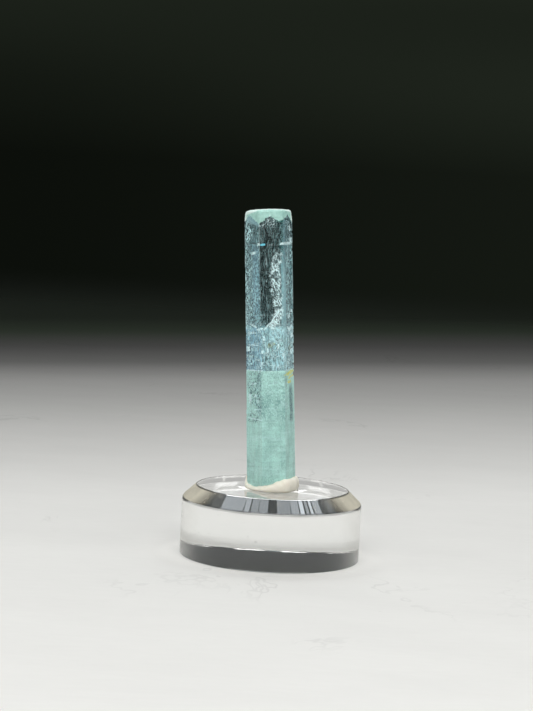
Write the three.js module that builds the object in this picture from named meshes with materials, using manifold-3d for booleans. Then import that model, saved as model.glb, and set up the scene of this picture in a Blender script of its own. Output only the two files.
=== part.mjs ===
// A green beryl crystal, set upright in white mineral putty on a clear acrylic display base.
// Millimetres, +Z up. The origin is the middle of the base's underside.

import * as THREE from "three";
import { mergeVertices } from "three/addons/utils/BufferGeometryUtils.js";
import Module from "manifold-3d";

const wasm = await Module();
wasm.setup();

// ---- Driving dimensions, in millimetres and degrees ----

// The base is a disc cut from clear sheet, with a bevel round the top.
const BASE_DIAMETER = 31.75;
const BASE_HEIGHT = 12.2;
const BEVEL_DROP = 2.28;
const BEVEL_INSET = 2.46;
const BEVEL_SHOULDER = 0.3; // height of the softened corner between the side and the bevel
const ARRIS = 0.12; // the small flat left on each sharp edge
const DISC_SIDES = 120;

// The crystal is a six-sided prism that narrows a little upwards and leans.
const SHAFT_LENGTH = 49.1; // along its axis, from the base's top face
const FOOT_RADIUS = 4.305; // from the axis to a corner
const TIP_RADIUS = 4.205;
const FIRST_CORNER = 8.6; // direction of a corner, seen from above, from +X
const LEAN = 4.05;
const LEAN_TOWARDS = 158.3;
const AXIS_START = new THREE.Vector3(-0.21, -1.4, BASE_HEIGHT);

// The tip is a low worn dome: share of the tip's radius, and how far it lies under the peak.
const TIP_DOME = [
  [1, 0.65],
  [0.92, 0.36],
  [0.78, 0.21],
  [0.58, 0.1],
];

// Its foot is a slanting break that almost touches the base on the left.
const BREAK_HEIGHT = 13.3; // where the break crosses the axis
const BREAK_SLOPE = 0.29;
const BREAK_RISES_TOWARDS = 345;
const BREAK_RELIEF = 0.12;
const BREAK_CLEARANCE = 0.12; // left over the base where the break is lowest

// White putty holds the foot. It stands out from the crystal by a varying amount.
const PUTTY_POINTS = 72;
const PUTTY_GAP = 0.3; // left between the putty and the crystal pressed into it

// ---- Small tools ----

const rad = THREE.MathUtils.degToRad;
const UP = new THREE.Vector3(0, 0, 1);

function toSolid(geometry) {
  const bare = geometry.index ? geometry.toNonIndexed() : geometry.clone();
  bare.deleteAttribute("normal");
  bare.deleteAttribute("uv");
  const merged = mergeVertices(bare, 1e-3);
  const mesh = new wasm.Mesh({
    numProp: 3,
    vertProperties: merged.attributes.position.array,
    triVerts: new Uint32Array(merged.index.array),
  });
  return new wasm.Manifold(mesh);
}

function toGeometry(solid) {
  const { numProp, numVert, vertProperties, triVerts } = solid.getMesh();
  const positions = new Float32Array(numVert * 3);
  for (let i = 0; i < numVert; i++) {
    positions.set(vertProperties.subarray(i * numProp, i * numProp + 3), i * 3);
  }
  const indexed = new THREE.BufferGeometry();
  indexed.setAttribute("position", new THREE.BufferAttribute(positions, 3));
  indexed.setIndex(new THREE.BufferAttribute(triVerts, 1));
  const faceted = indexed.toNonIndexed();
  faceted.computeVertexNormals();
  return faceted;
}

// A closed skin over a stack of rings, lowest first, each ring running anticlockwise.
function skinRings(rings) {
  const count = rings[0].length;
  const vertices = rings.flat();
  const index = [];
  for (let level = 0; level < rings.length - 1; level++) {
    for (let i = 0; i < count; i++) {
      const a = level * count + i;
      const b = level * count + ((i + 1) % count);
      index.push(a, b, b + count, a, b + count, a + count);
    }
  }
  const middle = (ring) => {
    const sum = ring.reduce((total, p) => total.add(p), new THREE.Vector3());
    return sum.divideScalar(ring.length);
  };
  const floor = vertices.push(middle(rings[0])) - 1;
  const roof = vertices.push(middle(rings.at(-1))) - 1;
  const top = (rings.length - 1) * count;
  for (let i = 0; i < count; i++) {
    const next = (i + 1) % count;
    index.push(floor, next, i, roof, top + i, top + next);
  }
  const geometry = new THREE.BufferGeometry().setFromPoints(vertices);
  return geometry.setIndex(index);
}

// Blends values given at set directions round the crystal, smoothly and without a seam.
function roundAbout(entries) {
  const turn = 360;
  const loop = [-1, 0, 1].flatMap((lap) => entries.map(([angle, value]) => [angle + lap * turn, value]));
  return (angle) => {
    const a = ((angle % turn) + turn) % turn;
    const i = loop.findIndex(([end]) => end > a);
    const [start, from] = loop[i - 1];
    const [end, to] = loop[i];
    return THREE.MathUtils.lerp(from, to, THREE.MathUtils.smoothstep(a, start, end));
  };
}

// ---- Display base ----

function displayBase() {
  const radius = BASE_DIAMETER / 2;
  const shoulder = BASE_HEIGHT - BEVEL_DROP;
  const outline = [
    new THREE.Vector2(0, 0),
    new THREE.Vector2(radius - ARRIS, 0),
    new THREE.Vector2(radius, ARRIS),
    new THREE.Vector2(radius, shoulder - BEVEL_SHOULDER),
    new THREE.Vector2(radius - BEVEL_SHOULDER / 3, shoulder),
    new THREE.Vector2(radius - BEVEL_INSET + ARRIS, BASE_HEIGHT - ARRIS),
    new THREE.Vector2(radius - BEVEL_INSET - ARRIS, BASE_HEIGHT),
    new THREE.Vector2(0, BASE_HEIGHT),
  ];
  return new THREE.LatheGeometry(outline, DISC_SIDES).rotateX(rad(90));
}

// ---- Crystal ----

// The crystal's own frame: its axis along Z from the base's top face, a corner along +X.
const leanAxis = new THREE.Vector3(0, 0, 1).cross(
  new THREE.Vector3(Math.cos(rad(LEAN_TOWARDS)), Math.sin(rad(LEAN_TOWARDS)), 0),
);
const stand = new THREE.Matrix4().makeTranslation(AXIS_START);
stand.multiply(new THREE.Matrix4().makeRotationAxis(leanAxis, rad(LEAN)));
stand.multiply(new THREE.Matrix4().makeRotationZ(rad(FIRST_CORNER)));

const radiusAt = (along) => THREE.MathUtils.lerp(FOOT_RADIUS, TIP_RADIUS, along / SHAFT_LENGTH);
const APOTHEM_SHARE = Math.cos(rad(30)); // a face's distance from the axis over a corner's

// A six-sided shaft, grown sideways by the given amount, starting a little below the break.
function hexShaft(grow, below) {
  const extra = grow / APOTHEM_SHARE;
  const outline = [
    new THREE.Vector2(0, -below),
    new THREE.Vector2(radiusAt(-below) + extra, -below),
    ...TIP_DOME.map(([share, under]) => new THREE.Vector2(TIP_RADIUS * share + extra, SHAFT_LENGTH - under)),
    new THREE.Vector2(0, SHAFT_LENGTH),
  ];
  const lathe = new THREE.LatheGeometry(outline, 6, rad(90));
  return lathe.rotateX(rad(90));
}

// Puts a cutter on a face: across from the face's middle line, along the shaft, and sunk in.
// Faces are numbered anticlockwise; face 0 lies between the first two corners.
function onFace(geometry, face, across, along, depth) {
  const direction = 30 + 60 * face;
  const out = radiusAt(along) * APOTHEM_SHARE - depth;
  const seat = new THREE.Matrix4().makeRotationZ(rad(direction));
  seat.multiply(new THREE.Matrix4().makeTranslation(out, across, along));
  return geometry.applyMatrix4(seat);
}

// Long shallow steps left as the faces grew: face, start and end across, depth, low and high end.
const GROWTH_STEPS = [
  [4, 1.25, 2.4, 0.07, -1, 29],
  [4, -2.4, -1.6, 0.05, 21, 50],
  [4, -0.5, -0.1, 0.06, 30, 41],
  [3, 0.6, 2.4, 0.08, -1, 20.6],
  [3, -2.4, -1.4, 0.06, 27, 50],
  [5, -2.4, -0.4, 0.07, -1, 20.8],
  [5, 0.9, 1.3, 0.06, 23, 43],
  [0, -0.7, 2.4, 0.08, -1, 35],
  [1, -2.4, -0.9, 0.09, 8, 50],
  [1, 0.8, 1.2, 0.06, 3.5, 32],
  [2, -0.2, 2.4, 0.07, 14, 50],
];

function growthStep([face, from, to, depth, low, high]) {
  const thick = 1;
  const slab = new THREE.BoxGeometry(thick, to - from, high - low);
  slab.translate(thick / 2, 0, 0);
  return onFace(slab, face, (from + to) / 2, (low + high) / 2, depth);
}

// Cross fractures show as fine V grooves round the shaft. A small tilt fades one side out.
// Height along the shaft, depth, tilt, and the direction that the tilt cuts deepest.
const CROSS_FRACTURES = [
  [42.6, 0.1, 0.6, 340],
  [30.1, 0.07, 1.4, 300],
  [27.6, 0.09, 3.2, 20],
  [20.9, 0.14, 0.5, 330],
  [11.8, 0.06, 1.1, 200],
];
const FRACTURE_WIDTH = 0.3;

function crossFracture([along, depth, tilt, deepest]) {
  const inner = radiusAt(along) - depth;
  const outer = inner + 2;
  const flare = (FRACTURE_WIDTH * (outer - inner)) / (2 * depth);
  const groove = new THREE.LatheGeometry(
    [
      new THREE.Vector2(inner, 0),
      new THREE.Vector2(outer, -flare),
      new THREE.Vector2(outer, flare),
      new THREE.Vector2(inner, 0),
    ],
    6,
    rad(90),
  );
  groove.rotateX(rad(90));
  const axis = new THREE.Vector3(Math.sin(rad(deepest)), -Math.cos(rad(deepest)), 0);
  groove.applyMatrix4(new THREE.Matrix4().makeRotationAxis(axis, rad(tilt)));
  return groove.translate(0, 0, along);
}

// Shell-shaped chips: face, across, along, depth, then the size of the bite each way.
const CHIPS = [
  [4, -0.5, 48.2, 0.26, 0.9, 1.1, 0.9],
  [4, 0.4, 47.4, 0.12, 0.7, 0.8, 0.7],
  [4, -1.6, 46.2, 0.16, 0.6, 0.7, 0.9],
  [1, 1.2, 48.1, 0.25, 0.8, 1.0, 0.7],
  [0, -1.9, 20.1, 0.2, 0.8, 0.7, 0.9],
  [3, -0.5, 16.7, 0.12, 0.7, 0.9, 1.6],
  [2, 0.9, 28.8, 0.12, 0.7, 1.0, 0.8],
];

function chip([face, across, along, depth, deep, wide, tall]) {
  const bite = new THREE.IcosahedronGeometry(1, 2);
  bite.scale(deep, wide, tall);
  return onFace(bite, face, across, along, depth - deep);
}

// Nicks along the two corners that took the knocks: corner direction, height, size.
const NICKS = [
  [0, 20.2, 0.5],
  [0, 21.9, 0.3],
  [0, 23.6, 0.26],
  [0, 25.3, 0.34],
  [0, 27.2, 0.3],
  [0, 29.2, 0.24],
  [0, 41.9, 0.3],
  [180, 13.0, 0.22],
  [180, 27.3, 0.26],
  [120, 35.4, 0.3],
  [60, 10.7, 0.34],
];
const NICK_SHARE = 0.35; // how much of the nick's own size bites into the corner

function nick([corner, along, size]) {
  const bite = new THREE.OctahedronGeometry(size);
  bite.rotateY(rad(18));
  bite.translate(radiusAt(along) + size * (1 - 2 * NICK_SHARE), 0, along);
  return bite.rotateZ(rad(corner));
}

// The slanting break under the foot, with low steps and one notch near the front.
function breakHeight(x, y, drop) {
  const slope = BREAK_SLOPE * (x * Math.cos(rad(BREAK_RISES_TOWARDS)) + y * Math.sin(rad(BREAK_RISES_TOWARDS)));
  const steps = BREAK_RELIEF * (Math.sin(1.9 * x + 0.7 * y) + 0.6 * Math.sin(2.7 * y - 1.1 * x + 1));
  const notch = -0.35 * Math.exp(-((x + 0.7) ** 2) / 0.2 - (y + 4.6) ** 2);
  return Math.max(BREAK_HEIGHT + slope + steps + notch, BASE_HEIGHT + BREAK_CLEARANCE) - drop;
}

function footCutter(drop) {
  const size = 16;
  const depth = 8;
  const block = new THREE.BoxGeometry(size, size, depth, 20, 20, 1);
  const points = block.attributes.position;
  for (let i = 0; i < points.count; i++) {
    const x = points.getX(i) + AXIS_START.x;
    const y = points.getY(i) + AXIS_START.y;
    const top = points.getZ(i) > 0;
    const local = breakHeight(points.getX(i), points.getY(i), drop);
    points.setXYZ(i, x, y, top ? local : BASE_HEIGHT - depth);
  }
  return block;
}

function crystalSolid() {
  let solid = toSolid(hexShaft(0, 1));
  const cutters = [
    ...GROWTH_STEPS.map(growthStep),
    ...CROSS_FRACTURES.map(crossFracture),
    ...CHIPS.map(chip),
    ...NICKS.map(nick),
  ];
  for (const cutter of cutters) solid = solid.subtract(toSolid(cutter));
  return solid.transform(stand.elements).subtract(toSolid(footCutter(0)));
}

// The room that the putty leaves for the crystal.
function crystalRoom() {
  const shaft = toSolid(hexShaft(PUTTY_GAP, 1)).transform(stand.elements);
  return shaft.subtract(toSolid(footCutter(PUTTY_GAP)));
}

// ---- Putty ----

// How far the putty stands out from the crystal, and how high its rim climbs, by direction.
const puttyProud = roundAbout([
  [8, 0.75],
  [40, 0.55],
  [100, 0.55],
  [150, 0.6],
  [186, 0.65],
  [220, 0.8],
  [250, 0.75],
  [270, 0.8],
  [295, 1.0],
  [330, 0.85],
]);
const puttyRim = roundAbout([
  [8, 2.25],
  [40, 2.5],
  [80, 1.6],
  [115, 2.2],
  [150, 2.5],
  [180, 2.25],
  [193, 0.75],
  [215, 0.55],
  [235, 0.65],
  [250, 0.9],
  [268, 1.25],
  [285, 1.85],
  [305, 2.3],
  [335, 2.25],
]);

// Profile of the outer wall: share of the way out, share of the way up.
const PUTTY_PROFILE = [
  [0.72, 0],
  [0.96, 0.16],
  [1, 0.4],
  [0.86, 0.72],
  [0.5, 0.93],
  [0.15, 1],
];

function hexReach(direction) {
  const fromFace = THREE.MathUtils.euclideanModulo(direction - FIRST_CORNER, 60) - 30;
  return (FOOT_RADIUS * APOTHEM_SHARE) / Math.cos(rad(fromFace));
}

function puttyRing([outShare, upShare]) {
  const ring = [];
  for (let i = 0; i < PUTTY_POINTS; i++) {
    const direction = (360 * i) / PUTTY_POINTS;
    const lump = 1 + 0.12 * Math.sin(rad(7 * direction + 40)) + 0.08 * Math.sin(rad(13 * direction));
    const reach = hexReach(direction) + puttyProud(direction) * outShare * lump;
    const height = BASE_HEIGHT + puttyRim(direction) * upShare;
    ring.push(new THREE.Vector3(reach, 0, height).applyAxisAngle(UP, rad(direction)));
  }
  return ring.map((p) => p.add(new THREE.Vector3(AXIS_START.x, AXIS_START.y, 0)));
}

function puttySolid() {
  return toSolid(skinRings(PUTTY_PROFILE.map(puttyRing))).subtract(crystalRoom());
}

// ---- The three pieces ----

const finishes = {
  clear_acrylic: { color: "#e9ecec", roughness: 0.05, metalness: 0, transparent: true, opacity: 0.35 },
  white_putty: { color: "#f2efe2", roughness: 0.75, metalness: 0 },
  green_beryl: { color: "#8cc7bd", roughness: 0.18, metalness: 0, transparent: true, opacity: 0.7 },
};

function piece(name, geometry, finish) {
  const mesh = new THREE.Mesh(geometry, new THREE.MeshStandardMaterial(finishes[finish]));
  mesh.name = name;
  return mesh;
}

const specimen = new THREE.Group();
specimen.add(piece("acrylic_base", displayBase(), "clear_acrylic"));
specimen.add(piece("mineral_putty", toGeometry(puttySolid()), "white_putty"));
specimen.add(piece("beryl_crystal", toGeometry(crystalSolid()), "green_beryl"));

export default specimen;
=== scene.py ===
# %% [markdown]
# # A green beryl crystal on its display base
#
# A slender six-sided beryl crystal stands in a collar of white mineral putty on a clear acrylic
# base. The CAD frame holds the three solids at their real size. Here each one gets a finer mesh in
# the same place, and a finish made of nodes. Almost everything is see-through, so the light and the
# surroundings matter as much as the materials: clear things look like what is behind them.

from math import cos, pi, radians, sin, sqrt, tan

import bpy
import numpy as np
from mathutils import Matrix, Vector


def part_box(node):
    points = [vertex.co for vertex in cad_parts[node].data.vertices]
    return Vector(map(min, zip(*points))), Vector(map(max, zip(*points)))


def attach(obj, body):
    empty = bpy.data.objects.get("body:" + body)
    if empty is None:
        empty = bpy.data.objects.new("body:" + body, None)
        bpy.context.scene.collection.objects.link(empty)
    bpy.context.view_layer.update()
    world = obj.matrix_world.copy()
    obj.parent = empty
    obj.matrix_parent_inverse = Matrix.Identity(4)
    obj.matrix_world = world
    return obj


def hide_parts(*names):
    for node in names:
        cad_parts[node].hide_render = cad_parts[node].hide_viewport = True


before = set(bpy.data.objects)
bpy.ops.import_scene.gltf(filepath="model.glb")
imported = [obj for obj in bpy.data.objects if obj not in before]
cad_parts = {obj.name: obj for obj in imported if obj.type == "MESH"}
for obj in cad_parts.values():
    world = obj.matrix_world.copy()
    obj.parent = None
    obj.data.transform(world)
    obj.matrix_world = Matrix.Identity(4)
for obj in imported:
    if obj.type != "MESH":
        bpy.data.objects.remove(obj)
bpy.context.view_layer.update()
MM = 0.001
print("CAD nodes:", sorted(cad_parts))

# %% [markdown]
# ## Small helpers for shader maths
#
# A Blender material is a graph of nodes, and even `1 - mask` takes a Math node and two links.
# Wrapping a socket in a small class lets Python's own operators add those nodes, so that a mask
# reads like the formula it is.

# %% A socket that can be used in sums


class Term:
    """A number that changes over the surface: an output socket with Python's operators."""

    def __init__(self, finish, socket):
        self.finish = finish
        self.socket = socket

    def maths(self, operation, *values, clamp=False):
        settings = {"operation": operation, "use_clamp": clamp}
        return self.finish.term("ShaderNodeMath", settings, dict(enumerate(values)))

    def __add__(self, other):
        return self.maths("ADD", self, other)

    def __sub__(self, other):
        return self.maths("SUBTRACT", self, other)

    def __rsub__(self, other):
        return self.maths("SUBTRACT", other, self)

    def __mul__(self, other):
        return self.maths("MULTIPLY", self, other)

    def __truediv__(self, other):
        return self.maths("DIVIDE", self, other)

    def __pow__(self, other):
        return self.maths("POWER", self, other)

    __radd__ = __add__
    __rmul__ = __mul__

    def most(self, other):
        return self.maths("MAXIMUM", self, other)

    def size(self):
        return self.maths("ABSOLUTE", self)

    def fraction(self):
        return self.maths("FRACT", self)

    def clamped(self):
        return self.maths("ADD", self, 0.0, clamp=True)

    def between(self, start, end, edge):
        """1 from start to end, easing to 0 over the edge's width on each side."""
        half = edge / 2
        return self.ramp(start - half, start + half) * self.ramp(end + half, end - half)

    def ramp(self, start, end):
        """0 at start and 1 at end, eased at both ends. Start may be above end."""
        sockets = {"Value": self, "From Min": start, "From Max": end}
        settings = {"interpolation_type": "SMOOTHSTEP", "clamp": True}
        return self.finish.term("ShaderNodeMapRange", settings, sockets)


def distance(x, y):
    return (x * x + y * y) ** 0.5


print("Shader maths ready")

# %% A finish: one material and the methods that add its nodes


class Finish:
    def __init__(self, owner, output="ShaderNodeOutputMaterial"):
        self.owner = owner
        self.owner.use_nodes = True
        self.tree = self.owner.node_tree
        self.tree.nodes.clear()
        self.output = self.tree.nodes.new(output)

    def add(self, kind, settings=None, sockets=None, output=0):
        """Adds a node, sets it, feeds its sockets, and gives back one of its outputs."""
        node = self.tree.nodes.new(kind)
        for key, value in (settings or {}).items():
            setattr(node, key, value)
        for key, value in (sockets or {}).items():
            self.feed(node.inputs[key], value)
        return node.outputs[output]

    def term(self, *parts):
        return Term(self, self.add(*parts))

    def feed(self, socket, value):
        if isinstance(value, Term):
            value = value.socket
        if isinstance(value, bpy.types.NodeSocket):
            self.tree.links.new(value, socket)
        else:
            socket.default_value = value

    def graded(self, share, stops):
        """A colour that eases from stop to stop. Each stop is a place from 0 to 1 and a colour."""
        colour_out = self.add("ShaderNodeValToRGB", None, {0: share})
        elements = colour_out.node.color_ramp.elements
        while len(elements) < len(stops):
            elements.new(1.0)
        for element, (place, colour) in zip(elements, stops):
            element.position = place
            element.color = (*colour, 1.0)
        return colour_out

    def place(self):
        """The piece's own coordinates, in metres."""
        return self.add("ShaderNodeTexCoord", output="Object")

    def in_frame(self, vector, matrix):
        """The same place as it reads in a turned frame, such as the leaning crystal's own."""
        sockets = {"Vector": vector, "Location": matrix.translation, "Rotation": matrix.to_euler()}
        return self.add("ShaderNodeMapping", {"vector_type": "TEXTURE"}, sockets)

    def stretched(self, vector, scale):
        return self.add("ShaderNodeMapping", None, {"Vector": vector, "Scale": scale})

    def axis(self, vector, name):
        return self.term("ShaderNodeSeparateXYZ", None, {0: vector}, name)

    def facing(self):
        """0 where a surface is seen square on, rising to 1 where it is seen edge on."""
        return self.term("ShaderNodeLayerWeight", None, {"Blend": 0.5}, "Facing")

    def noise(self, vector, scale, detail=3, roughness=0.55, distortion=0):
        sockets = {"Vector": vector, "Scale": scale, "Detail": detail}
        sockets.update(Roughness=roughness, Distortion=distortion)
        return self.term("ShaderNodeTexNoise", None, sockets)

    def cells(self, vector, scale, feature="F1"):
        sockets = {"Vector": vector, "Scale": scale}
        return self.term("ShaderNodeTexVoronoi", {"feature": feature}, sockets, "Distance")

    def blend_colour(self, share, first, second):
        sockets = {0: share, 6: as_colour(first), 7: as_colour(second)}
        return self.add("ShaderNodeMix", {"data_type": "RGBA"}, sockets, 2)

    def blend_shader(self, share, first, second):
        return self.add("ShaderNodeMixShader", None, {0: share, 1: first, 2: second})

    def layered(self, blend, first, layers):
        """Blends one layer after another over the first, each by its own share."""
        for share, layer in layers:
            first = blend(share, first, layer)
        return first

    def bump(self, height, distance, strength=1.0, normal=None):
        sockets = {"Height": height, "Distance": distance, "Strength": strength}
        if normal is not None:
            sockets["Normal"] = normal
        return self.add("ShaderNodeBump", None, sockets)

    def principled(self, **sockets):
        named = {key.replace("_", " "): value for key, value in sockets.items()}
        return self.add("ShaderNodeBsdfPrincipled", None, named)

    def show(self, shader, volume=None):
        self.feed(self.output.inputs["Surface"], shader)
        if volume is not None:
            self.feed(self.output.inputs["Volume"], volume)
        return self.owner


def new_finish(name):
    return Finish(bpy.data.materials.new(name))


def as_colour(value):
    return (*value, 1.0) if isinstance(value, tuple) and len(value) == 3 else value


def srgb(r, g, b):
    """A colour read as 0 to 255 values on a screen, as the linear light that nodes work in."""
    linear = []
    for c in (r / 255, g / 255, b / 255):
        linear.append(c / 12.92 if c < 0.04045 else ((c + 0.055) / 1.055) ** 2.4)
    return (*linear, 1.0)


print("Finish ready")

# %% [markdown]
# ## Making meshes from rings
#
# All three pieces are closed forms round an upright axis: a disc, a hexagon and a lump of putty
# round that hexagon. Each could be cut and bevelled with modifiers. Stacking rings of points and
# skinning them keeps every edge and ledge where it is wanted, and keeps the faces even.

# %% Skin a stack of rings


def ring_at(radius, direction, height):
    """Points round an upright axis. Each of the three may be one number or one for each point."""
    x = radius * np.cos(direction)
    y = radius * np.sin(direction)
    return np.stack([x, y, height + np.zeros_like(x)], axis=1)


def skin(name, rings, low_end, high_end):
    """A mesh over rings of equal count, given lowest first, closed by a point at each end."""
    rings = np.asarray(rings, float)
    levels, count, _ = rings.shape
    points = np.vstack([rings.reshape(-1, 3), [low_end], [high_end]])
    level, i = np.meshgrid(np.arange(levels - 1), np.arange(count), indexing="ij")
    a = level * count + i
    b = level * count + (i + 1) % count
    walls = np.stack([a, b, b + count, a + count], axis=-1).reshape(-1, 4)
    i = np.arange(count)
    after = (i + 1) % count
    low, high = levels * count, levels * count + 1
    last = (levels - 1) * count
    floor = np.stack([np.full(count, low), after, i], axis=-1)
    roof = np.stack([np.full(count, high), last + i, last + after], axis=-1)
    mesh = bpy.data.meshes.new(name)
    mesh.from_pydata(points.tolist(), [], walls.tolist() + floor.tolist() + roof.tolist())
    mesh.update()
    return mesh


def piece(name, mesh, material, crease):
    """An object with smooth faces that stay crisp along every edge sharper than crease degrees."""
    mesh.shade_smooth()
    mesh.set_sharp_from_angle(angle=radians(crease))
    mesh.materials.append(material)
    made = bpy.data.objects.new(name, mesh)
    bpy.context.scene.collection.objects.link(made)
    print(name, "has", len(mesh.vertices), "points and", len(mesh.polygons), "faces")
    return made


# %% [markdown]
# ## The camera
#
# The view is a long lens from a little above, rolled by three degrees. The camera comes first
# because everything clear is judged by what lies behind it from here.

# %% Set up the camera
VIEW_DISTANCE = 356.4 * MM
VIEW_ELEVATION = radians(11.14)
HEADING = radians(0.38)
PITCH = radians(5.46)
ROLL = radians(3.08)
LENS = 101.3  # millimetres, as the sensor is
SENSOR = 36.0  # along the picture's long side

camera_data = bpy.data.cameras.new("camera")
camera_data.lens = LENS
camera_data.sensor_width = SENSOR
camera_data.clip_start = 0.01
camera_data.clip_end = 20.0
camera = bpy.data.objects.new("camera", camera_data)
bpy.context.scene.collection.objects.link(camera)
spot = VIEW_DISTANCE * Vector((0.0, -cos(VIEW_ELEVATION), sin(VIEW_ELEVATION)))
turn = Matrix.Rotation(HEADING, 4, "Z") @ Matrix.Rotation(pi / 2 - PITCH, 4, "X")
camera.matrix_world = Matrix.Translation(spot) @ turn @ Matrix.Rotation(ROLL, 4, "Z")
bpy.context.scene.camera = camera
print("Camera at", [round(c / MM, 1) for c in spot], "mm")

# %% [markdown]
# ## The display base
#
# The base is a disc cut from acrylic sheet, bevelled and polished as clear as glass. What the eye
# reads is its edges: the bevel bends the light from behind, and the underside is a mirror that
# shows the dark surroundings as a band. That mirror needs air under it, so the floor lies a hair
# lower than the base.

# %% Sizes of the base
low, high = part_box("acrylic_base")
BASE_RADIUS = high.x
BASE_TOP = high.z
BEVEL_DROP = 2.28 * MM
BEVEL_INSET = 2.46 * MM
SOFT_CORNER = 0.5 * MM
ARRIS = 0.15 * MM
DISC_POINTS = 320
print("Base is", [round(size / MM, 2) for size in (2 * BASE_RADIUS, BASE_TOP)], "mm wide and high")

# %% The base's rings


def rounded(corner, before, after, size):
    """Points round a corner of the profile, from one straight side to the next."""
    points = []
    for share in np.linspace(0, 1, 5):
        start = -before.normalized() * size * (1 - share) ** 2
        end = after.normalized() * size * share**2
        points.append(corner + start + end)
    return points


def base_rings():
    # The profile runs up the outside: the inset from the rim, then the height.
    bottom = Vector((0.0, 0.0))
    shoulder = Vector((0.0, BASE_TOP - BEVEL_DROP))
    brow = Vector((BEVEL_INSET, BASE_TOP))
    inwards = Vector((1.0, 0.0))
    upwards = Vector((0.0, 1.0))
    profile = [Vector((3 * ARRIS, 0.0))]
    profile += rounded(bottom, -inwards, upwards, ARRIS)
    profile += rounded(shoulder, upwards, brow - shoulder, SOFT_CORNER)
    profile += rounded(brow, brow - shoulder, inwards, ARRIS)
    profile.append(brow + 3 * ARRIS * inwards)
    turn = np.linspace(0, 2 * pi, DISC_POINTS, endpoint=False)
    return [ring_at(BASE_RADIUS - inset, turn, height) for inset, height in profile]


base_mesh = skin("acrylic_base_polished", base_rings(), (0, 0, 0), (0, 0, BASE_TOP))
print("Bevel is", round(sqrt(BEVEL_DROP**2 + BEVEL_INSET**2) / MM, 2), "mm wide")

# %% [markdown]
# The clear part of the finish is plain transmission. Real polished acrylic is never quite perfect,
# though. It carries hairlines from wiping, a faint waviness from the buffing wheel, and a film of
# dust. The film is partly painted sheen: it hardly shows square on but turns milky when the
# surface is seen edge on. The bevel has the most, and its two edges are tinted dark in the
# transmission, a painted shade for the thin dark lines that they show. The underside stays clean:
# a film there would spoil the mirror that it makes.

# %% Clear acrylic
ACRYLIC_IOR = 1.49
WAVE_SCALE = 160.0
HAIRLINE_SCALE = 900.0
DUST_AND_SHEEN = srgb(214, 208, 190)
DUST_AND_SHEEN_ON_FLATS = 0.08
DUST_AND_SHEEN_ON_BEVEL = 0.8
BEVEL_FOOT = BASE_TOP - BEVEL_DROP
BROW_RADIUS = BASE_RADIUS - BEVEL_INSET
ACRYLIC_TINT = (0.993, 0.994, 0.983)
PAINTED_EDGE_SHADE = (0.30, 0.31, 0.32)
PAINTED_EDGE_SHARE = 0.7


def clear_acrylic():
    f = new_finish("clear_acrylic")
    place = f.place()
    height = f.axis(place, "Z")
    wave = f.noise(f.stretched(place, (1, 1, 0.35)), WAVE_SCALE, 2)
    hairline = f.noise(f.stretched(place, (0.25, 0.25, 4)), HAIRLINE_SCALE, 2, 0.7)
    wiped = f.noise(place, 220, 3).ramp(0.45, 0.75)
    normal = f.bump(wave, 0.02 * MM, 0.5, f.bump(hairline, 0.002 * MM, 0.6))
    out = distance(f.axis(place, "X"), f.axis(place, "Y"))
    # Painted shade: the bevel's brow and its foot are tinted dark in the transmission.
    brow = out.between(BROW_RADIUS - 0.12 * MM, BROW_RADIUS + 0.2 * MM, 0.1 * MM)
    brow = brow * height.ramp(BASE_TOP - 0.3 * MM, BASE_TOP - 0.2 * MM)
    shoulder = height.between(BEVEL_FOOT - 0.18 * MM, BEVEL_FOOT + 0.3 * MM, 0.2 * MM)
    clear = f.principled(
        Base_Color=f.blend_colour(brow.most(shoulder) * PAINTED_EDGE_SHARE, ACRYLIC_TINT, PAINTED_EDGE_SHADE),
        Roughness=0.006 + 0.02 * wiped,
        IOR=ACRYLIC_IOR,
        Transmission_Weight=1.0,
        Normal=normal,
    )
    # A film that is partly dust and partly painted sheen: it grows where the surface is seen edge
    # on.
    dust_and_sheen_film = f.principled(Base_Color=DUST_AND_SHEEN, Roughness=0.5, Specular_IOR_Level=0.3, Normal=normal)
    on_bevel = height.between(BEVEL_FOOT + 0.1 * MM, BASE_TOP - 0.1 * MM, 0.2 * MM)
    speck = f.cells(place, 700).ramp(0.16, 0.1) * f.noise(place, 300).ramp(0.5, 0.62)
    streaks = f.noise(f.stretched(place, (1, 1, 0.3)), 420, 3)
    crossing = f.noise(place, 420, 2, 0.6, 1)
    scuffs = (crossing - 0.5).size().ramp(0.02, 0.004) * on_bevel
    scuffs = scuffs * f.noise(place, 160).ramp(0.5, 0.6)
    edge_on = f.facing().ramp(0.36, 0.6)
    amount = DUST_AND_SHEEN_ON_FLATS + (DUST_AND_SHEEN_ON_BEVEL - DUST_AND_SHEEN_ON_FLATS) * on_bevel
    veil = edge_on * amount * (0.7 + 0.6 * streaks) + 0.16 * speck + 0.14 * scuffs + 0.01
    above_foot = height.ramp(0.2 * MM, 0.8 * MM)  # the underside stays clean
    return f.show(f.blend_shader((veil * above_foot).clamped(), clear, dust_and_sheen_film))


base = piece("acrylic_base_polished", base_mesh, clear_acrylic(), 20)
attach(base, "root")
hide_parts("acrylic_base")

# %% [markdown]
# ## The crystal's own frame
#
# The crystal leans, so it is easiest to model upright, with its length along Z and a corner
# towards +X, and to stand the finished mesh in the putty with one matrix. The finish turns its
# coordinates back by the same matrix, because growth lines and zones of colour in beryl run along
# the crystal and not straight up.

# %% Sizes of the crystal, in millimetres
LENGTH = 49.1
FOOT_RADIUS = 4.305
TIP_RADIUS = 4.205
FIRST_CORNER = radians(8.6)
LEAN = radians(4.05)
LEAN_TOWARDS = radians(158.3)
AXIS_START = (-0.21, -1.4, BASE_TOP / MM)
FACE_SHARE = cos(radians(30))  # a face's distance from the axis over a corner's
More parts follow.
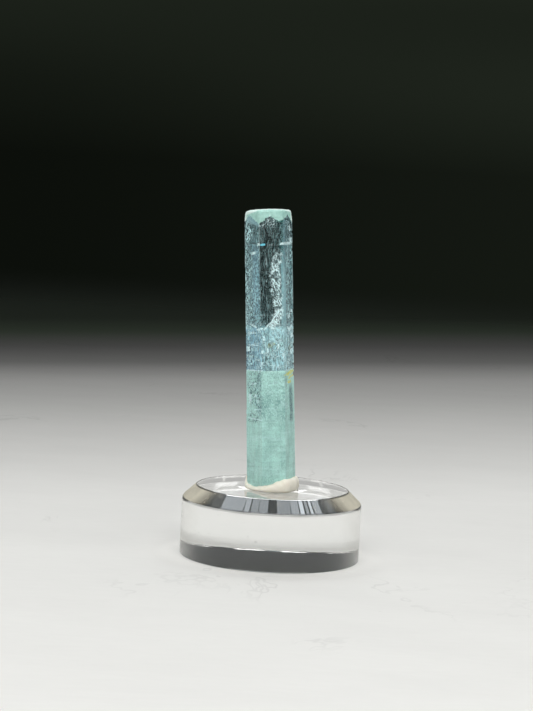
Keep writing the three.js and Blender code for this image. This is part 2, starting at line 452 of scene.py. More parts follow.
# The tip is a low worn dome: share of the radius, and how far it lies under the peak.
TIP_DOME = [(0.0, 0.0), (0.58, 0.1), (0.78, 0.21), (0.92, 0.36), (1.0, 0.65)]
RIM_DROP = TIP_DOME[-1][1]

lean_axis = Vector((-sin(LEAN_TOWARDS), cos(LEAN_TOWARDS), 0.0))
stand = (
    Matrix.Translation(Vector(AXIS_START))
    @ Matrix.Rotation(LEAN, 4, lean_axis)
    @ Matrix.Rotation(FIRST_CORNER, 4, "Z")
)
# The same in metres, for the objects' matrices.
stand_metres = stand.copy()
stand_metres.translation = stand.translation * MM


def radius_at(along):
    return FOOT_RADIUS + (TIP_RADIUS - FOOT_RADIUS) * along / LENGTH


print("Tip at", [round(c, 2) for c in stand @ Vector((0, 0, LENGTH))], "mm")

# %% [markdown]
# ## The shape of the faces
#
# Beryl faces are flat, but never blank: they carry long growth steps, fine grooves where cross
# fractures come out, shell-shaped chips and small knocks along the corners. Booleans would leave
# ragged shading on clear faces. Instead one formula gives the depth of the surface under a
# perfectly flat face at any place, and the rings are pulled in by it.

# %% Growth steps, cross fractures, chips and knocks
# Face, start and end across it, depth, low and high end along the crystal.
GROWTH_STEPS = [
    (4, 1.25, 2.4, 0.07, -1, 29),
    (4, -2.4, -1.6, 0.05, 21, 50),
    (4, -0.5, -0.1, 0.06, 30, 41),
    (3, 0.6, 2.4, 0.08, -1, 20.6),
    (3, -2.4, -1.4, 0.06, 27, 50),
    (5, -2.4, -0.4, 0.07, -1, 20.8),
    (5, 0.9, 1.3, 0.06, 23, 43),
    (0, -0.7, 2.4, 0.08, -1, 35),
    (1, -2.4, -0.9, 0.09, 8, 50),
    (1, 0.8, 1.2, 0.06, 3.5, 32),
    (2, -0.2, 2.4, 0.07, 14, 50),
]
# Height along the crystal, depth, tilt in degrees, and the direction that it cuts deepest.
CROSS_FRACTURES = [
    (42.93, 0.10, 0.6, 340),
    (30.7, 0.07, 1.0, 300),
    (27.6, 0.09, 3.2, 20),
    (20.9, 0.14, 0.5, 330),
    (11.8, 0.06, 1.1, 200),
]
FRACTURE_WIDTH = 0.3
TILT_ARM = 4.0
# Face, across, along, depth, and the bite's size across and along.
CHIPS = [
    (4, -0.5, 48.2, 0.26, 0.78, 0.63),
    (4, 0.4, 47.4, 0.12, 0.45, 0.39),
    (4, -1.6, 46.2, 0.16, 0.48, 0.61),
    (1, 1.2, 48.1, 0.25, 0.73, 0.51),
    (0, -1.9, 20.1, 0.20, 0.46, 0.60),
    (3, -0.5, 16.7, 0.12, 0.50, 0.90),
    (2, 0.9, 28.8, 0.12, 0.56, 0.45),
]
CORNER_AWAY = 4.2
# Corner number, height and size.
KNOCKS = [
    (0, 20.2, 0.50), (0, 21.9, 0.30), (0, 23.6, 0.26), (0, 25.3, 0.34), (0, 27.2, 0.30),
    (0, 29.2, 0.24), (0, 41.9, 0.30), (3, 13.0, 0.22), (3, 27.3, 0.26), (2, 35.4, 0.30),
    (1, 10.7, 0.34),
]


def ease(x):
    x = np.clip(x, 0.0, 1.0)
    return x * x * (3 - 2 * x)


def band(x, start, end, edge):
    """1 between start and end, falling to 0 over the edge's width on each side."""
    return ease((x - start) / edge + 0.5) * ease((end - x) / edge + 0.5)


print(len(GROWTH_STEPS), "growth steps,", len(CHIPS), "chips,", len(KNOCKS), "knocks")

# %% [markdown]
# Fine striations run the whole length of a beryl crystal. A sum of sines with unrelated pitches,
# each drifting a little along the crystal, gives lines that never repeat and needs no random
# numbers.

# %% How far the surface lies under a flat face


def striation(face, across, along):
    seed = 1.7 * face
    drift = 0.25 * np.sin(0.21 * along + seed) + 0.1 * np.sin(0.63 * along + 2 * seed)
    lines = np.sin(9.1 * (across + drift) + seed)
    lines = lines + 0.7 * np.sin(17.3 * (across - 0.5 * drift) + 3 * seed)
    lines = lines + 0.5 * np.sin(29.0 * across + 0.9 * np.sin(0.37 * along) + seed)
    swell = 0.6 + 0.4 * np.sin(0.33 * along + 2.1 * seed + 0.8 * across)
    return 0.004 * swell * lines


def face_depth(face, across, along):
    depth = 0.012 + striation(face, across, along)
    for on_face, start, end, deep, foot, head in GROWTH_STEPS:
        if on_face == face:
            wander = 0.05 * np.sin(0.9 * along + face)
            step = deep * band(across + wander, start, end, 0.12)
            depth = depth + step * band(along, foot, head, 0.3)
    for on_face, middle, height, deep, wide, tall in CHIPS:
        if on_face == face:
            reach = ((across - middle) / wide) ** 2 + ((along - height) / tall) ** 2
            shell = 1 + 0.18 * np.sin(14 * np.sqrt(reach + 0.01) + 3 * across)
            depth = np.maximum(depth, deep * shell * np.clip(1 - reach, 0, None))
    return depth


def fracture_depth(direction, along):
    depth = np.zeros_like(along)
    for height, deep, tilt, deepest in CROSS_FRACTURES:
        side = np.cos(direction - radians(deepest))
        level = height + TILT_ARM * tan(radians(tilt)) * side
        level = level + 0.04 * np.sin(5 * direction + height)
        share = np.clip(1 - np.abs(along - level) / (FRACTURE_WIDTH / 2), 0, None)
        depth = depth + deep * share * (0.55 + 0.45 * side)
    return depth


def knock_depth(direction, along):
    """How much is knocked off the corners, growing towards the corner itself."""
    depth = np.zeros_like(along)
    for corner, height, size in KNOCKS:
        away = (direction - radians(60 * corner) + pi) % (2 * pi) - pi
        reach = (away * CORNER_AWAY / (0.9 * size)) ** 2 + ((along - height) / (0.8 * size)) ** 2
        depth = depth + 0.35 * size * np.clip(1 - reach, 0, None)
    return depth


print("Depth formulas ready")

# %% The slanting break under the foot
BREAK_HEIGHT = 13.3
BREAK_SLOPE = 0.29
BREAK_RISES = radians(345)
BREAK_RELIEF = 0.12
BREAK_CLEARANCE = 0.13


def break_height(x, y):
    """Height of the broken foot over the floor, x and y counted from the crystal's axis."""
    slope = BREAK_SLOPE * (x * cos(BREAK_RISES) + y * sin(BREAK_RISES))
    steps = BREAK_RELIEF * (np.sin(1.9 * x + 0.7 * y) + 0.6 * np.sin(2.7 * y - 1.1 * x + 1))
    notch = -0.35 * np.exp(-((x + 0.7) ** 2) / 0.2 - (y + 4.6) ** 2)
    grain = 0.03 * np.sin(7.3 * x + 2 * y) * np.sin(6.1 * y - 3 * x)
    return np.maximum(BREAK_HEIGHT + slope + steps + notch + grain, BASE_TOP / MM + BREAK_CLEARANCE)


def along_at_break(x, y):
    """Where a line along the crystal, at x and y in its own frame, meets the break."""
    along = np.full_like(x, 1.0)
    rows = np.array(stand)
    for _ in range(3):
        world = [row[0] * x + row[1] * y + row[2] * along + row[3] for row in rows[:3]]
        wanted = break_height(world[0] - AXIS_START[0], world[1] - AXIS_START[1])
        along = along + (wanted - world[2]) / rows[2][2]
    return along


print("Break rises", round(2 * FOOT_RADIUS * BREAK_SLOPE, 2), "mm across the foot")

# %% [markdown]
# ## The crystal's mesh
#
# The rings follow the hexagon, with points packed evenly along each face and one exactly on each
# corner. They start on the broken foot, run up the shaft, turn over the worn rim and close over
# the tip.

# %% Rings of the crystal
POINTS_A_FACE = 30
ROWS = 330
TIP_SINK = 0.09
RIM_MIDDLE_DROP = 0.47
RIM_TILT = 0.1  # the worn rim lies this much lower on the left and higher on the right
WORN_IN = 0.17
WORN_LENGTH = 1.6
COLUMNS = 6 * POINTS_A_FACE
# How far out the rings lie that close the foot and the tip, closer together at the worn rim.
FOOT_SHARES = np.linspace(0.06, 0.94, 15)
TIP_SHARES = np.concatenate([np.linspace(0.99, 0.88, 8), np.linspace(0.84, 0.06, 14)])

face_of = np.repeat(np.arange(6), POINTS_A_FACE)
share_of = np.tile(np.arange(POINTS_A_FACE) / POINTS_A_FACE * 2 - 1, 6)  # -1 on a corner


def hexagon(along):
    """Directions and undisturbed radius of every column at a height along the crystal."""
    apothem = radius_at(along) * FACE_SHARE
    across = share_of * apothem * tan(radians(30))
    turn_of = np.radians(30 + 60 * face_of) + np.arctan2(across, apothem)
    return apothem, across, turn_of


def side_ring(along):
    apothem, across, direction = hexagon(along)
    depth = np.zeros_like(across)
    for face in range(6):
        on_face = face_of == face
        depth[on_face] = face_depth(face, across[on_face], along[on_face])
    before_corner = (face_of - 1) % 6
    on_corner = share_of == -1
    for face in range(6):
        pick = on_corner & (before_corner == face)
        depth[pick] = np.maximum(depth[pick], face_depth(face, -across[pick], along[pick]))
    depth = depth + fracture_depth(direction, along) + knock_depth(direction, along)
    reach = (apothem - depth) / np.cos(direction - np.radians(30 + 60 * face_of))
    return ring_at(reach, direction, along)


def worn_rim(ring):
    """Draws the top of the shaft in a little, because the rim is worn round."""
    share = ease((ring[:, 2] - (LENGTH - RIM_DROP - WORN_LENGTH)) / (2 * WORN_LENGTH)) * 2
    return ring * np.stack([1 - share * WORN_IN / TIP_RADIUS] * 2 + [np.ones(COLUMNS)], axis=1)


def crystal_rings():
    start = np.full(COLUMNS, 1.0)
    for _ in range(3):
        foot = side_ring(start)
        start = along_at_break(foot[:, 0], foot[:, 1])
    rings = []
    foot = side_ring(start)
    for share in FOOT_SHARES:
        x, y = foot[:, 0] * share, foot[:, 1] * share
        rings.append(np.stack([x, y, along_at_break(x, y)], axis=1))
    rim_drop = RIM_MIDDLE_DROP - RIM_TILT * np.cos(hexagon(LENGTH)[2])
    for step in np.linspace(0, 1, ROWS):
        rings.append(worn_rim(side_ring(start + (LENGTH - TIP_SINK - rim_drop - start) * step)))
    rim = rings[-1]
    shares, drops = zip(*TIP_DOME)
    for share in TIP_SHARES:
        ring = rim * np.array([share, share, 1.0])
        x, y = ring[:, 0], ring[:, 1]
        pits = 0.025 * np.sin(3.1 * x + 1) * np.sin(2.3 * y) + 0.02 * np.sin(5.7 * x - 4.1 * y)
        sunk = np.interp(share, shares, drops) / RIM_DROP * rim_drop
        ring[:, 2] = LENGTH - TIP_SINK - sunk + pits * (1 - share**8)
        rings.append(ring)
    return rings


rings = crystal_rings()
foot_point = (0, 0, float(along_at_break(np.zeros(1), np.zeros(1))[0]))
tip_point = (0, 0, LENGTH - TIP_SINK)
ends = [Vector(point) * MM for point in (foot_point, tip_point)]
crystal_mesh = skin("beryl_crystal_faces", np.array(rings) * MM, *ends)
print("Crystal is", LENGTH, "mm long and", round(2 * radius_at(LENGTH / 2), 2), "mm wide")

# %% [markdown]
# ## Beryl
#
# The upper half is clear: plain transmission, and a blue-green absorption that deepens with the
# length of the path. The lower half is full of tiny tubes and healed cracks, so it looks milky.
# A scattering volume would be slow and noisy, so masks along the crystal blend the clear surface
# into a soft milky one.

# %% Beryl's numbers
BERYL_IOR = 1.575
ABSORB_COLOUR = (0.15, 0.93, 0.97, 1)
ABSORB_DENSITY = 85
MILK_LIGHT = srgb(184, 230, 220)
MILK_DEEP = srgb(162, 207, 198)
MILK_DARK = srgb(92, 144, 142)
PAINTED_WINDOW_DARK = srgb(38, 84, 94)
COOL_HAZE_AND_LIGHT = srgb(172, 220, 228)
BLUE_HAZE = srgb(146, 200, 226)
SILVER = srgb(222, 250, 252)
PAINTED_SPARKLE = srgb(206, 250, 252)
BLUE_GLINT = srgb(112, 204, 224)
FROST_LIGHT = srgb(192, 238, 226)
FROST_DEEP = srgb(172, 222, 210)
FROST_RIM_AND_SHEEN = srgb(240, 255, 250)
IRON_STAIN = srgb(226, 218, 66)
PAINTED_SHADE = srgb(8, 24, 27)


class CrystalFinish(Finish):
    """A finish that knows places in the crystal's own frame, in millimetres."""

    def __init__(self, owner):
        super().__init__(owner)
        self.here = self.in_frame(self.place(), stand_metres)
        # X runs across the front face, Y into the crystal from it, and Z along the crystal.
        self.x, y, self.along = (self.axis(self.here, name) / MM for name in "XYZ")
        self.out = 0 - y
        self.turns = y.maths("ARCTAN2", y, self.x) / (2 * pi)

    def grown(self, share, *numbers):
        """Noise that is drawn out along the crystal by a share under 1."""
        return self.noise(self.stretched(self.here, (1, 1, share)), *numbers)

    def on_front(self):
        return self.out.ramp(0, 0.6)


# %% [markdown]
# The tip of this crystal is frosted. The frost covers the worn dome and hangs down near each
# corner, so that on every face its edge makes a gable, torn where it flaked. A ramp that goes by
# the angle round the crystal holds the gables' feet and tops.

# %% Frost on the tip
GABLE_TOP = 47.95
GABLE_DROP = 1.5
TORN = 0.55
# Degrees round the crystal, and how far down the frost hangs there, as a share of the drop.
GABLES = [
    (0, 0.9), (30, 0.05), (58, 1), (92, 0), (120, 0.85), (148, 0.1), (178, 0.8), (198, 0),
    (240, 1), (266, 0.05), (291, 0.75), (334, 0), (360, 0.9),
]


def frost_on_tip(f):
    stops = [(angle / 360, (share, share, share)) for angle, share in GABLES]
    hang = Term(f, f.graded((f.turns + 1).fraction(), stops))
    torn = (f.grown(0.6, 2100, 4, 0.7) - 0.5) * (2 * TORN)
    reach = f.along + hang * GABLE_DROP + torn
    return reach.ramp(GABLE_TOP - 0.06, GABLE_TOP + 0.08)


print("Frost hangs", GABLE_DROP, "mm down each corner")

# %% [markdown]
# Inside the clear half lie healed fractures. A feathery silver veil runs down the front, sharp
# cracks cross the crystal where the milk begins, and flecks are scattered all over: the light ones
# are painted sparkle and the dark ones painted shade. They are thin, so they can be patches of
# scatter on the faces instead of sheets inside. Curled threads are drawn where a cloudy noise
# crosses its middle value, like the contours on a map.

# %% Veil, cracks and flecks
VEIL_TOP = 41.6
VEIL_FOOT = 28
VEIL_WIDTH = 1.65
CRACKS_TOP = 29.2
CRACKS_FOOT = 21.2
HAZE_ENDS = (28.9, 28.3)  # the heights over which the haze among the cracks comes on
# The right stripe is also painted lighter with haze, standing in for light seen through the
# crystal.
RIGHT_STRIPE = (1.6, 2.6)  # a calmer stripe beside the right corner of the front face


def curled_threads(f, vector, scale, width):
    """Thin curved lines, drawn where a noise crosses its middle value."""
    cloud = f.noise(vector, scale, 2, 0.6, 0.5)
    return (cloud - 0.5).size().ramp(width, width * 0.3)


def corner_nearness(f):
    """Millimetres round the crystal from the nearest corner."""
    sixth = (f.turns * 6 + 12).fraction()
    return (0.5 - (sixth - 0.5).size()) * (2 * pi * TIP_RADIUS / 6)


def silver_veil(f):
    """Feathers that fill the right half of the front face."""
    sway = (f.noise(f.stretched(f.here, (0.2, 0.2, 1)), 420, 2) - 0.5) * 1.8
    ragged = (f.grown(0.6, 1900, 2) - 0.5) * 1.3
    wide = (f.x + sway + ragged).between(0, VEIL_WIDTH, 0.6)
    wide = wide * f.along.between(VEIL_FOOT, VEIL_TOP, 1.6)
    wide = wide * (0.5 + 0.5 * f.along.ramp(VEIL_TOP, VEIL_TOP - 3.2))
    slanted = f.in_frame(f.here, Matrix.Rotation(radians(-32), 4, "Y"))
    threads = curled_threads(f, f.stretched(slanted, (1, 1, 0.5)), 2500, 0.035)
    feather = f.noise(f.stretched(slanted, (1, 1, 0.3)), 6400, 2, 0.6, 0.3).ramp(0.5, 0.56)
    clump = f.grown(0.8, 1300, 2).ramp(0.36, 0.54)
    feathers = 0.05 + (threads * 0.95).most(feather * clump)
    return wide * f.out.ramp(1.5, 3) * feathers * (0.4 + 0.85 * clump)


def cross_cracks(f):
    """Nearly flat cracks, drawn by the borders between flattened cells."""
    flattened = f.stretched(f.here, (1, 1, 2.4))
    border = f.cells(flattened, 1500, "DISTANCE_TO_EDGE").ramp(0.1, 0.03)
    broken = f.noise(f.here, 1300, 2).ramp(0.46, 0.58)
    return border * broken * f.along.between(CRACKS_FOOT, CRACKS_TOP, 1) * 0.75


def fleck_room(f):
    """How many flecks each part of the front has: most at the sides, few in the dark middle."""
    left_stripe = f.x.between(-3.15, -2.12, 0.2)
    middle = f.x.between(-2.1, 1.6, 0.1)
    right_stripe = f.x.between(*RIGHT_STRIPE, 0.2)
    return 1 - (0.5 * left_stripe).most(0.84 * middle).most(0.75 * right_stripe)


# Small flecks painted bright, as sparkle.
def painted_sparkles(f):
    fine = f.grown(0.6, 3800, 2, 0.6, 0.9).ramp(0.53, 0.57)
    patch = f.grown(0.4, 620, 2).ramp(0.4, 0.56)
    return fine * (0.36 + 0.64 * patch)


# Flecks painted with shade, and painted shade on the right face under the frost.
def dark_flecks(f):
    fine = f.grown(0.5, 3400, 2, 0.6, 0.9).ramp(0.5, 0.45)
    patch = f.grown(0.3, 520, 2).ramp(0.58, 0.44)
    upright = f.grown(0.1, 2700, 2).ramp(0.46, 0.41) * f.along.between(21.2, 25.6, 1.6)
    shade_under_frost = f.x.ramp(2.5, 2.7) * f.along.ramp(43.2, 43.7)
    return (fine * (0.5 + 0.5 * patch)).most(upright * 0.9).most(shade_under_frost * 0.6)


def upright_lines(f, scale, low, high):
    """Fine growth lines on the dark middle of the front face, used to paint shade and thin
    highlights.
    """
    middle = f.x.between(-2.15, 1.7, 0.1) * f.along.ramp(28.6, 29.6)
    lines = f.grown(0.09, scale, 2, 0.6, 0.3).ramp(low, high)
    return lines * middle * f.out.ramp(1.5, 3)


print("Veil is", round(VEIL_TOP - VEIL_FOOT, 1), "mm long")

# %% [markdown]
# A few single flaws catch the eye: curled glints under the frost, bright slivers in the upper
# cross crack, and the long crack that runs slantwise into the milk. Their brightness is painted
# highlight, standing in for light that the cracks reflect. The small ones are patches, placed one
# by one on the front three faces. A brownish yellow iron stain, in thin strokes of the same kind,
# sits where the milk ends.

# %% Single flaws and painted glints
# The glints are painted highlights, standing in for light that the cracks reflect.
# Across and along in millimetres, half width, half height, and slant of the patch.
GLINTS = [
    (2.85, 43, 1.3, 0.26, 0.02),
    (3.85, 43.5, 0.26, 0.55, 0),
    (-2.95, 41.35, 0.28, 0.28, 0.4),
    (-4.1, 43, 0.18, 0.24, 0),
    (-2.2, 42.9, 0.16, 0.26, 0),
    (3.6, 45.6, 0.2, 0.5, 0),
    (-2.6, 15.6, 0.2, 0.35, 0.5),
    (-2.9, 16.6, 0.16, 0.3, -0.4),
    (-3.7, 16, 0.14, 0.9, -0.6),
    (-3.3, 18.6, 0.7, 0.1, 0.25),
    (-2.7, 14.2, 0.6, 0.1, 0.2),
    (-3, 12.5, 1.1, 0.12, -0.1),
    (-3, 20.98, 1.3, 0.11, 0),
    (3.3, 20.98, 1.1, 0.11, 0),
    (-3.05, 28.75, 0.55, 0.2, -0.55),
    (-2.1, 28.25, 0.5, 0.16, 0.3),
    (3.1, 28.2, 0.4, 0.3, -0.9),
    (3.6, 28.4, 0.4, 0.3, 0.9),
    (-0.1, 28.5, 0.5, 0.18, -0.5),
    (0.75, 29.7, 0.14, 0.4, 0),
    (-1.5, 26.6, 0.2, 0.45, 0),
    (-1.8, 24.3, 0.22, 0.35, 0.3),
    (-0.9, 24.6, 0.16, 0.4, -0.3),
    (-3.9, 24.7, 0.3, 0.5, 0.2),
    (-3.1, 25.4, 0.8, 0.09, 0),
    (-3.2, 27.5, 0.7, 0.09, 0.1),
    (1, 25.2, 0.18, 0.5, 0),
    (1.9, 23.6, 0.14, 0.5, 0),
    (3.8, 26.9, 0.3, 0.4, 0),
    (3.7, 24.2, 0.3, 0.5, 0.3),
    (3.9, 31.2, 0.3, 0.3, -0.6),
    (3.2, 30.4, 0.3, 0.4, 0.7),
]
# A painted cyan glint in the upper cross crack.
BLUE_GLINTS = [(-1.5, 42.84, 0.46, 0.2, 0.12)]
STAINS = [
    (3.3, 20.5, 1, 0.3, 0.3),
    (3.5, 19.8, 0.7, 0.2, 0.4),
    (3.1, 18.9, 0.45, 0.22, 0.2),
    (2.3, 20.1, 0.4, 0.12, 0.1),
    (-0.2, 25.5, 0.7, 0.4, 0.3),
    (3.3, 24.8, 0.3, 0.5, 0),
]


def patches(x, along, table):
    """Patches from a table, joined into one mask."""
    total = None
    for across, height, wide, tall, slant in table:
        u = (x - across) / wide
        v = (along - height - slant * (x - across)) / tall
        patch = (1 - u**4 - v**4).ramp(0, 0.5)
        total = patch if total is None else total.most(patch)
    return total


def flaws_with_painted_glints(f):
    x, along = f.x, f.along
    bend = (f.noise(f.here, 700, 2) - 0.5) * 0.9
    slantwise = (x - (along - 28.2) * 0.83 + 1.28 + bend).size().ramp(0.24, 0.09)
    slantwise = slantwise * along.between(28.2, 32, 0.6)
    curls = curled_threads(f, f.here, 2400, 0.05) * x.between(-2.1, 0.6, 0.3)
    curls = curls * along.between(45.9, 47.9, 0.8) * f.noise(f.here, 1500).ramp(0.42, 0.54)
    thread = (x + 0.95 + bend * 0.15).size().ramp(0.1, 0.04) * along.between(33, 40.8, 1)
    thread = thread * f.noise(f.here, 900).ramp(0.45, 0.6) * 0.5
    rough = f.noise(f.here, 4600, 2).ramp(0.38, 0.52)
    frayed = (f.noise(f.here, 3000, 2) - 0.5) * 0.7
    glints = patches(x + frayed, along + frayed * 0.4, GLINTS)
    total = glints.most(slantwise).most(curls).most(thread)
    return total * f.on_front() * (0.35 + 0.65 * rough)


def iron_stain(f):
    bend = (f.noise(f.here, 1900, 3) - 0.5) * 1.1
    thin = f.noise(f.here, 4000, 2).ramp(0.36, 0.56)
    return patches(f.x, f.along + bend, STAINS) * f.on_front() * (0.3 + 0.7 * thin)


print(len(GLINTS) + len(BLUE_GLINTS), "glints and", len(STAINS), "stains placed")

# %% [markdown]
# The milk comes in steps. It is smooth and whole at the foot, mottled with clear windows above
# that, and only a cool streaky haze between the cracks higher up. The steps end at sharp levels,
# because cross cracks stopped the liquid that healed the crystal.

# %% Milk in steps
WHOLE_TOP = 12.3
MOTTLED_TOP = 20.95


def windows(f):
    """Places in the mottled milk painted dark, as painted shade where the dark room would show
    through.
    """
    clouds = f.grown(0.8, 420, 2)
    drift = (clouds - 0.5) * 2.4
    left = (f.x + drift).between(-3.75, -2, 0.8) * clouds.ramp(0.36, 0.5)
    strip = (f.x + drift * 0.28).between(3.1, 3.85, 0.3)
    strip = strip * (f.along + drift * 0.5).between(11.6, 18.2, 2)
    broken = f.grown(0.6, 4300, 2, 0.6, 0.6).ramp(0.46, 0.51)
    upper = f.along.between(WHOLE_TOP - 0.4, MOTTLED_TOP, 1)
    return (left * (0.95 - 0.9 * broken)).most(strip * (1 - 0.5 * broken)) * upper


def milk_colour(f):
    cloud = f.grown(0.6, 520, 4)
    grain = f.grown(0.7, 4600, 3, 0.65)
    lines = f.grown(0.04, 2300, 2)
    levels = f.noise(f.stretched(f.here, (0.12, 0.12, 1)), 1700, 3, 0.6)
    sparkle = f.grown(0.8, 4000, 2, 0.6, 0.3).ramp(0.54, 0.6)
    upper = f.along.ramp(WHOLE_TOP - 0.6, WHOLE_TOP + 1.2)
    duller = upper * f.along.ramp(17.8, 15.8)
    at_side = f.x.size().ramp(2.3, 3.2) * upper
    at_left = f.x.between(-4.3, -2.1, 0.4) * upper
    layers = [
        (lines.ramp(0.5, 0.62) * 0.12, MILK_DARK),
        (levels.ramp(0.5, 0.36) * 0.16, MILK_DARK),
        (levels.ramp(0.52, 0.66) * 0.2, SILVER),
        (duller * 0.22 + upper * 0.3 * cloud.ramp(0.5, 0.38), MILK_DARK),
        (grain.ramp(0.53, 0.63) * (0.2 + 0.3 * upper), SILVER),
        (grain.ramp(0.48, 0.38) * (0.26 + 0.24 * upper), MILK_DARK),
        (at_side * 0.65, MILK_LIGHT),
        (windows(f) * 0.95, PAINTED_WINDOW_DARK),
        # Painted sparkle on the left of the mottled milk.
        (sparkle * at_left * 0.5, PAINTED_SPARKLE),
        (iron_stain(f) * 0.9, IRON_STAIN),
    ]
    smooth = f.blend_colour(cloud.ramp(0.36, 0.62), MILK_DEEP, MILK_LIGHT)
    return f.layered(f.blend_colour, smooth, layers)


def haze_and_painted_light(f):
    """The cool streaks between the cracks, a trace of them above, and painted light on the side
    stripes.
    """
    x, along = f.x, f.along
    streak = f.grown(0.2, 4800, 2, 0.6, 0.3).ramp(0.42, 0.56)
    patch = f.grown(0.7, 500, 2).ramp(0.35, 0.6)
    cloudy = 0.36 + 0.22 * x.ramp(-2.2, -0.8) * patch
    cracked = along.ramp(*HAZE_ENDS) * (cloudy + 0.55 * streak * (0.4 + 0.6 * patch))
    # Painted light: the stripes beside the front face's corners are lightened with haze.
    strip = x.between(*RIGHT_STRIPE, 0.3) * along.ramp(42.6, 38) * 0.5
    left_painted_light = x.between(-3.1, -2.15, 0.4) * along.between(30, 42.6, 3) * 0.34
    trace = along.ramp(34, 28.5) * 0.12
    return cracked.most(trace).most(strip).most(left_painted_light)


print("Milk is whole up to", WHOLE_TOP, "mm")

# %% [markdown]
# The clear faces aren't glassy either. Growth lines and shallow etched pits break what is seen
# through the crystal into streaks. That relief is far below a millimetre, so it is two bumps on
# the same shader. The worn rim of the tip is whiter than the rest of its frost, and a painted
# sheen whitens the frost where it is seen edge on.

# %% The beryl finish


def frosted_tip(f):
    """The frost's own shader, with the rim of the tip worn white and a painted sheen at its
    outline.
    """
    tooth = f.noise(f.here, 1900, 3, 0.6)
    frosted = f.principled(
        Base_Color=f.blend_colour(tooth.ramp(0.35, 0.6), FROST_DEEP, FROST_LIGHT),
        Roughness=0.6,
        IOR=BERYL_IOR,
        Transmission_Weight=0.2,
        Normal=f.bump(tooth, 0.06 * MM, 0.5),
    )
    frost_rim_and_sheen = f.principled(Base_Color=FROST_RIM_AND_SHEEN, Roughness=0.6)
    at_rim = f.x.size().ramp(3.84, 3.94)
    # Seen from the front, the worn rim slants down to both sides.
    left_edge = (f.along - f.x * 0.45).ramp(49.62, 49.8)
    right_edge = (f.along + f.x * 0.3).ramp(49.44, 49.62)
    # Painted sheen where the frost is seen edge on, with the worn rim.
    whitened_and_sheen = (f.facing().ramp(0.8, 0.93) * 0.9).most(at_rim * 0.8)
    whitened_and_sheen = whitened_and_sheen.most(left_edge * 0.75).most(right_edge * 0.7)
    return f.blend_shader(whitened_and_sheen, frosted, frost_rim_and_sheen)


def beryl():
    f = CrystalFinish(bpy.data.materials.new("green_beryl"))
    x, along = f.x, f.along
    lines = f.grown(0.03, 1900, 3, 0.6)
    etch = f.grown(0.4, 4200, 2, 0.6, 0.4)
    normal = f.bump(etch, 0.07 * MM, 1, f.bump(lines, 0.06 * MM, 0.7))
    soft_normal = f.bump(etch, 0.03 * MM, 0.5, f.bump(lines, 0.03 * MM, 0.5))
    clear = f.principled(
        Base_Color=(1, 1, 1, 1),
        Roughness=0.04,
        IOR=BERYL_IOR,
        Transmission_Weight=1,
        Normal=normal,
    )
    milk = f.principled(
        Base_Color=milk_colour(f),
        Roughness=0.34,
        IOR=BERYL_IOR,
        Subsurface_Weight=0.3,
        Subsurface_Radius=(0.7, 1, 0.95),
        Subsurface_Scale=0.5 * MM,
        Normal=soft_normal,
    )

    def coat(colour, roughness, shine=0.5):
        sockets = {"Base_Color": colour, "Roughness": roughness, "Specular_IOR_Level": shine}
        return f.principled(**sockets, Normal=normal)

    silver = coat(SILVER, 0.3, 0.8)
    on_left = x.ramp(-1.7, -2.2) * along.ramp(45.2, 43.2)
    stained = f.blend_colour(on_left * 0.8, COOL_HAZE_AND_LIGHT, BLUE_HAZE)
    stained = f.blend_colour(iron_stain(f) * 0.45, stained, IRON_STAIN)
    # Corners partly worn and partly painted with highlight, most along the outer left and right
    # corners.
    corner_wear_and_highlight = corner_nearness(f).ramp(0.14, 0.05) * f.grown(0.3, 1600, 3).ramp(0.38, 0.54)
    at_sides = x.size().ramp(3.95, 4.05)
    scatter = silver_veil(f).most(cross_cracks(f)).most(corner_wear_and_highlight * (0.12 + 0.6 * at_sides))
    # A haze hangs under the frost at the left, down to a slanting edge.
    under_left = (along + x * 0.43).ramp(44.85, 45.3) * x.ramp(-2, -2.2) * 0.5
    cracked = along.ramp(*HAZE_ENDS)
    room_for = fleck_room(f).most(0.7 * cracked) * (1 - under_left)
    dark = dark_flecks(f) * room_for * (0.92 - 0.12 * cracked)
    light = painted_sparkles(f) * room_for * 0.95
    in_milk = along.ramp(MOTTLED_TOP + 0.08, MOTTLED_TOP - 0.08)
    glinting_flaws = flaws_with_painted_glints(f) * (1 - 0.2 * in_milk)
    layers = [
        (haze_and_painted_light(f).most(under_left).clamped(), coat(stained, 0.35)),
        # Painted shade: dark flecks, and darker growth lines over the dark middle of the front.
        (dark.most(upright_lines(f, 5600, 0.6, 0.45) * 0.8), coat(PAINTED_SHADE, 0.2, 0.3)),
        # Painted sparkle: light flecks and thin bright growth lines.
        (light.most(upright_lines(f, 7000, 0.55, 0.61) * 0.22), coat(PAINTED_SPARKLE, 0.25, 0.8)),
        (scatter.clamped(), silver),
        (in_milk, milk),
        (glinting_flaws.most(corner_wear_and_highlight * 0.3 * at_sides), silver),
        (patches(x, along, BLUE_GLINTS) * f.on_front(), coat(BLUE_GLINT, 0.3)),
        (frost_on_tip(f), frosted_tip(f)),
    ]
    absorbing = {"Color": ABSORB_COLOUR, "Density": ABSORB_DENSITY}
    volume = f.add("ShaderNodeVolumeAbsorption", None, absorbing)
    return f.show(f.layered(f.blend_shader, clear, layers), volume)


crystal_mesh.transform(stand_metres)
crystal = piece("beryl_crystal_faces", crystal_mesh, beryl(), 28)
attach(crystal, "root")
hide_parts("beryl_crystal")

# %% [markdown]
# ## The putty
#
# Mineral putty is pressed onto the base, and the crystal is pushed into it. It bulges where it is
# squeezed out, climbs the faces at the back and keeps small dents and creases. A sculpted lump
# would do, but rings round the crystal's own outline keep it tight against every face.

# %% Where the putty stands out and how high it climbs
PUTTY_COLUMNS = 240
SNUG = 0.03  # millimetres left between the putty and the crystal
